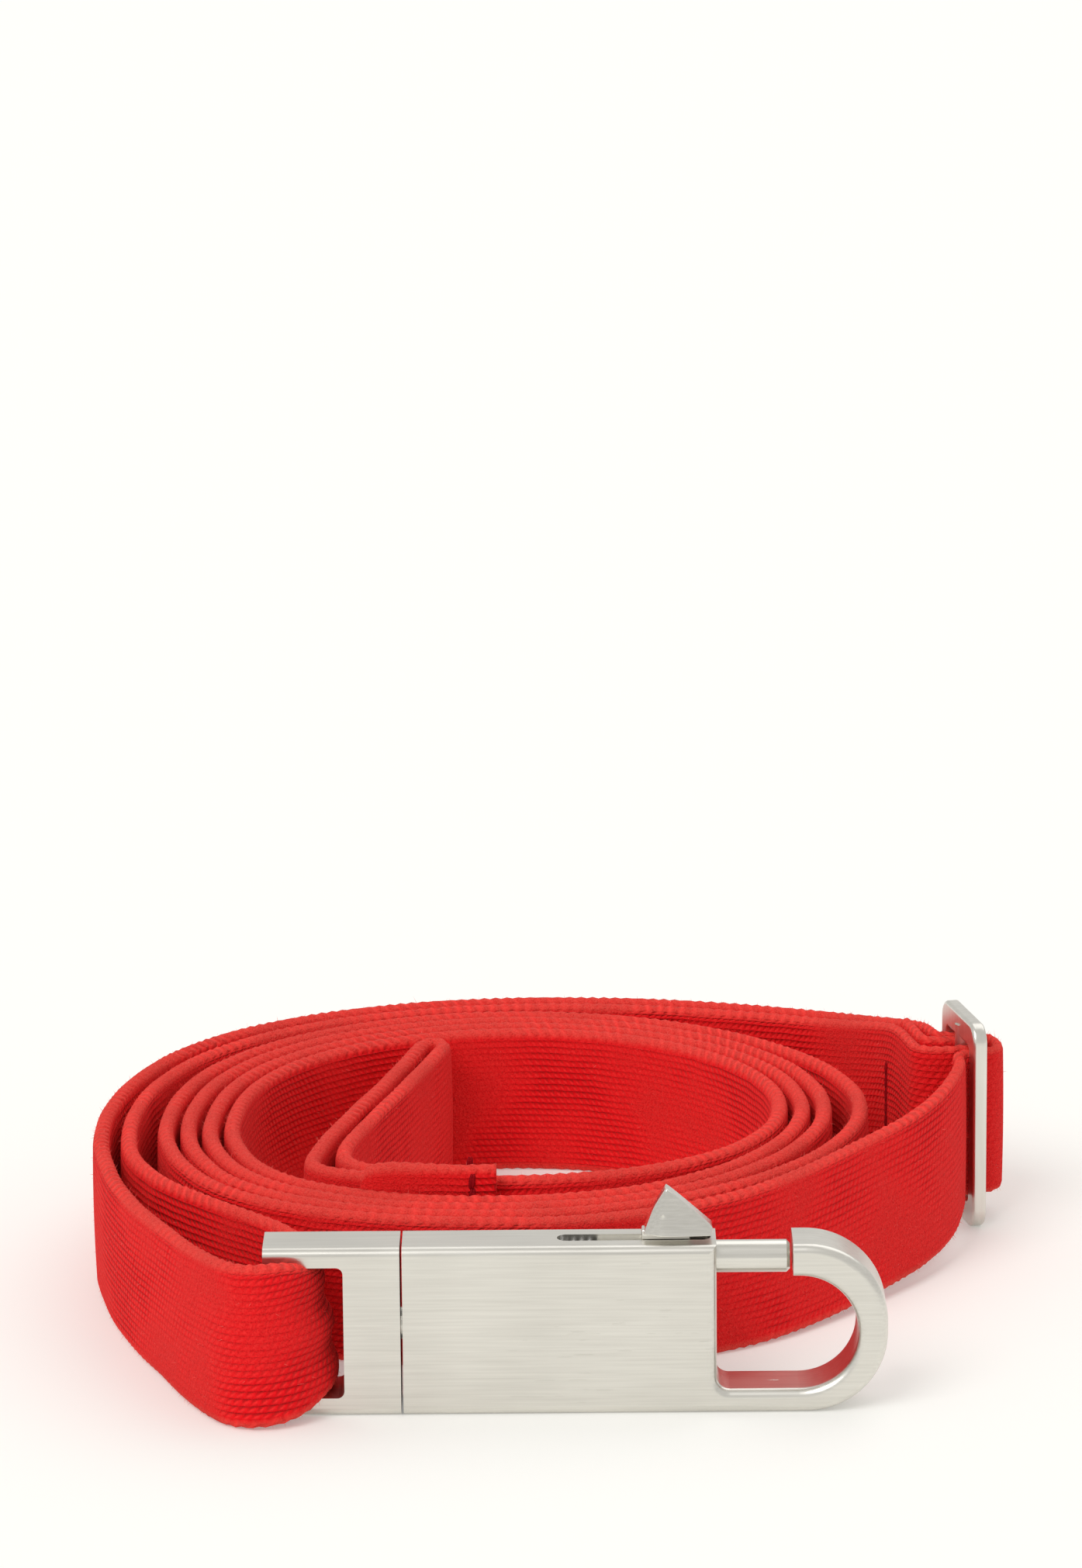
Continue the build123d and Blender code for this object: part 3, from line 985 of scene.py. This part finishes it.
@dataclass
class ThumbLever:
    """The fin-shaped thumb lever on its stem.

    Attributes:
        node: The CAD piece that it stands for.
        stem_width: Of the stem, across the slot.
        stem_length: Of the stem, along the slot.
        head_depth: Of the fin, across the slot.
        lift: Height of the fin.
        peak: How far the fin passes the CAD piece's top.
        overlap: How far the stem reaches into the fin.
        crest_at: Where along the fin its crest is highest.
        heel: Height of the crest at the end away from the hook.
        fall: How much of the height is gone at the hook's end.
        fall_power: How straight the crest falls.
        rake: How far the heel's top leans towards the crest.
        undercut: How far the foot is drawn back.
        taper: How much thinner the fin is at its top.
        taper_power: How late it thins.
        tail: How much thinner the foot is at the hook's end.
        hollow: How concave the sides are.
    """

    node: str = "thumb_lever"
    stem_width: float = 2.6 * MM
    stem_length: float = 7.4 * MM
    head_depth: float = 6.6 * MM
    lift: float = 7.0 * MM
    peak: float = 0.4 * MM
    overlap: float = 0.3 * MM
    crest_at: float = 0.3
    heel: float = 0.55
    fall: float = 0.86
    fall_power: float = 1.05
    rake: float = 0.14
    undercut: float = 0.03
    taper: float = 0.6
    taper_power: float = 1.4
    tail: float = 0.18
    hollow: float = 0.22

    def build(self, finish: bpy.types.Material) -> bpy.types.Object:
        """Shapes the head from a block by edit-mode moves, rounds it and adds the stem.

        Args:
            finish: The lever's material.

        Returns:
            The lever.
        """
        low, high = (Vector(c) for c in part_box(self.node))
        base = high.z - self.lift + self.overlap
        mid_y = (low.y + high.y) / 2
        half_depth = self.head_depth / 2
        size = Vector((high.x - low.x - 0.3 * MM, self.head_depth, high.z - base))
        middle = Vector((high.x - size.x / 2, mid_y, base + size.z / 2))
        deselect()
        bpy.ops.mesh.primitive_cube_add(size=1, location=middle, scale=size)
        head = bpy.context.object
        settle(head)
        bpy.ops.object.mode_set(mode="EDIT")
        bpy.ops.mesh.select_all(action="SELECT")
        bpy.ops.mesh.subdivide(number_cuts=3)
        bpy.ops.object.mode_set(mode="OBJECT")
        start = Vector((high.x - size.x, mid_y - half_depth, base))
        end = Vector((high.x, mid_y + half_depth, high.z + self.peak))
        for vertex in head.data.vertices:
            vertex.co = self.ridge(vertex.co, start, end)
        rounding = {"width": 0.35 * MM, "limit_method": "ANGLE", "angle_limit": 0.7}
        apply_modifier(head, "BEVEL", segments=2, **rounding)
        apply_modifier(head, "SUBSURF", levels=3, render_levels=3)
        self.stretch(head, start, end)
        deselect()
        stem_at = Vector((low.x + self.stem_length / 2, mid_y, (low.z + base) / 2 + self.overlap))
        stem_size = (self.stem_length, self.stem_width, base - low.z + 2 * self.overlap)
        bpy.ops.mesh.primitive_cube_add(size=1, location=stem_at, scale=stem_size)
        stem = bpy.context.object
        settle(stem)
        apply_modifier(stem, "BEVEL", width=0.25 * MM, segments=3)
        deselect()
        stem.select_set(True)
        head.select_set(True)
        bpy.context.view_layer.objects.active = head
        bpy.ops.object.join()
        head.name = "thumb_lever_fin"
        dress(head, finish)
        bpy.ops.object.shade_smooth_by_angle(angle=math.radians(35))
        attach(head, Body.GATE.value)
        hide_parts(self.node)
        return head

    def ridge(self, co: Vector, start: Vector, end: Vector) -> Vector:
        """Where a point of the block lies on the fin.

        Args:
            co: The point.
            start: The fin's lowest corner.
            end: The fin's highest corner.

        Returns:
            Its place on the fin.
        """
        length, half_depth, mid_y = end.x - start.x, self.head_depth / 2, (start.y + end.y) / 2
        u = min(1.0, max(0.0, (co.x - start.x) / length))
        w = min(1.0, max(0.0, (co.z - start.z) / (end.z - start.z)))
        v = (co.y - mid_y) / half_depth
        rise = math.sin(math.pi / 2 * min(1.0, u / self.crest_at))
        down = max(0.0, u - self.crest_at) / (1 - self.crest_at)
        if u < self.crest_at:
            crest = self.heel + (1 - self.heel) * rise
        else:
            crest = 1 - self.fall * down ** self.fall_power
        x = co.x + (self.rake * w * max(0.0, 1 - 2 * u) - self.undercut * (1 - w)) * length
        narrow = 1 - self.taper * w ** self.taper_power - self.tail * u * (1 - w)
        narrow *= 0.5 + 0.5 * rise
        narrow *= 1 - self.hollow * math.sin(math.pi * w) * math.sin(math.pi * u)
        return Vector((x, mid_y + v * narrow * half_depth, start.z + (end.z - start.z) * w * crest))

    @staticmethod
    def stretch(piece: bpy.types.Object, low: Vector, high: Vector) -> None:
        """Stretches a mesh to fill a box, which smoothing left a little small.

        Args:
            piece: The mesh.
            low: The box's lowest corner.
            high: The box's highest corner.
        """
        points = [vertex.co.copy() for vertex in piece.data.vertices]
        small = Vector(min(p[i] for p in points) for i in range(3))
        large = Vector(max(p[i] for p in points) for i in range(3))
        for vertex in piece.data.vertices:
            for i in range(3):
                share = (vertex.co[i] - small[i]) / (large[i] - small[i])
                vertex.co[i] = low[i] + share * (high[i] - low[i])


@dataclass
class ClipMetal:
    """Finishes of the clip's and slider's CAD pieces."""

    clip: MetalFinish = field(default_factory=lambda: MetalFinish("brushed_clip", scratched=True))
    frame: MetalFinish = field(default_factory=lambda: MetalFinish("brushed_frame"))
    pin: MetalFinish = field(default_factory=lambda: MetalFinish("turned_pin", rough=(0.16, 0.26)))
    slider: MetalFinish = field(
        default_factory=lambda: MetalFinish("satin_slider", grain=(900, 900, 60), rough=(0.26, 0.36))
    )
    brass: MetalFinish = field(
        default_factory=lambda: MetalFinish(
            "bush_brass", light=(0.80, 0.62, 0.30), dark=(0.62, 0.45, 0.18)
        )
    )
    wire: MetalFinish = field(
        default_factory=lambda: MetalFinish(
            "drawn_wire", light=(0.50, 0.50, 0.51), dark=(0.35, 0.35, 0.36)
        )
    )
    gate_travel: float = 11.5 * MM

    def dress(self, nodes: dict[str, bpy.types.Object]) -> None:
        """Gives each CAD piece its metal, and gives the spring a mesh of its own.

        Args:
            nodes: The frame's nodes by name.
        """
        plan = {
            self.clip: ("hook_body",),
            self.frame: ("swivel_frame",),
            self.pin: ("gate_pin", "swivel_rivet", "thrust_washer", "lever_screw"),
            self.slider: ("slider",),
            self.brass: ("swivel_bush",),
            self.wire: ("gate_spring",),
        }
        for finish, names in plan.items():
            material = finish.build()
            for name in names:
                dress(nodes[name], material)
                self.smooth(nodes[name])
                LOG.info("%s wears %s", name, finish.name)
        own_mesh(nodes["gate_spring"])

    @staticmethod
    def smooth(piece: bpy.types.Object) -> None:
        """Smooths the shading of round faces; the mesh's points stay as they are.

        Args:
            piece: The CAD piece.
        """
        piece.data.polygons.foreach_set("use_smooth", [True] * len(piece.data.polygons))


# ---------------------------------------------------------------- studio


@dataclass
class Studio:
    """Floor, soft light and the camera."""

    lens: float = 141.4
    distance: float = 1.0
    elevation: float = 17.13
    tilt_up: float = 3.93
    turn_left: float = 0.12
    roll: float = -0.5
    sky_strength: float = 0.72
    sky_colour: Colour = (1.0, 0.99, 0.965)
    sensor: float = 36.0
    floor_size: float = 8.0
    target: Vector = field(default_factory=lambda: Vector((0.0, -8.1, 12.5)) * MM)

    def floor(self) -> None:
        """A wide pale floor."""
        deselect()
        bpy.ops.mesh.primitive_plane_add(size=self.floor_size, location=(0, 0, 0))
        plane = bpy.context.object
        plane.name = "floor"
        dress(plane, FloorFinish().build())

    def camera(self) -> None:
        """A long lens that looks a little over the strap, which lies low in the picture."""
        data = bpy.data.cameras.new("camera")
        data.lens, data.sensor_width = self.lens, self.sensor
        data.clip_start, data.clip_end = 0.05, 30.0
        cam = bpy.data.objects.new("camera", data)
        rise = math.radians(self.elevation)
        cam.location = self.target + Vector((0, -math.cos(rise), math.sin(rise))) * self.distance
        pitch = math.radians(90 - self.elevation + self.tilt_up)
        look = Euler((pitch, 0, math.radians(self.turn_left))).to_matrix()
        spin = Euler((0, 0, math.radians(self.roll))).to_matrix()
        cam.rotation_euler = (look @ spin).to_euler()
        bpy.context.collection.objects.link(cam)
        bpy.context.scene.camera = cam

    def lights(self) -> None:
        """A pale sky all round and two broad, soft suns, so that the floor is even."""
        world = bpy.data.worlds.new("sky")
        bpy.context.scene.world = world
        world.use_nodes = True
        sky = world.node_tree.nodes["Background"]
        sky.inputs["Color"].default_value = (*self.sky_colour, 1.0)
        sky.inputs["Strength"].default_value = self.sky_strength
        self.sun("key", (-0.55, -0.75, 0.95), 1.15, 34)
        self.sun("back", (0.45, 0.75, 1.1), 0.45, 50)
        bpy.context.scene.view_settings.view_transform = "Standard"

    @staticmethod
    def sun(name: str, place: tuple[float, float, float], power: float, spread: float) -> None:
        """A soft sun that shines on the strap.

        Args:
            name: Its name.
            place: The direction that it shines from.
            power: Its strength.
            spread: Its apparent size in degrees.
        """
        data = bpy.data.lights.new(name, "SUN")
        data.energy, data.angle = power, math.radians(spread)
        lamp = bpy.data.objects.new(name, data)
        lamp.location = place
        lamp.rotation_euler = (-Vector(place)).to_track_quat("-Z", "Y").to_euler()
        bpy.context.collection.objects.link(lamp)


def main() -> None:
    """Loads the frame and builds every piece."""
    logging.basicConfig(level=logging.INFO, format="%(message)s")
    random.seed(SEED)
    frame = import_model()
    studio = Studio()
    studio.floor()
    studio.camera()
    studio.lights()
    cotton, thread = CottonFinish().build(), ThreadFinish().build()
    Webbing().dress(cotton, NapFinish().build())
    loop_thread = StitchRow("loop_thread", "loop_stitch", 3)
    loop_thread.front, loop_thread.back, loop_thread.lift = 6.25 * MM, 3.2 * MM, 4.5 * MM
    loop_thread.build(thread)
    StitchRow("slider_thread", "slider_stitch", -78.5, count=7).build(thread)
    ThumbLever().build(MetalFinish("bright_lever", rough=(0.12, 0.22)).build())
    ClipMetal().dress(frame["nodes"])


if __name__ == "__main__":
    main()
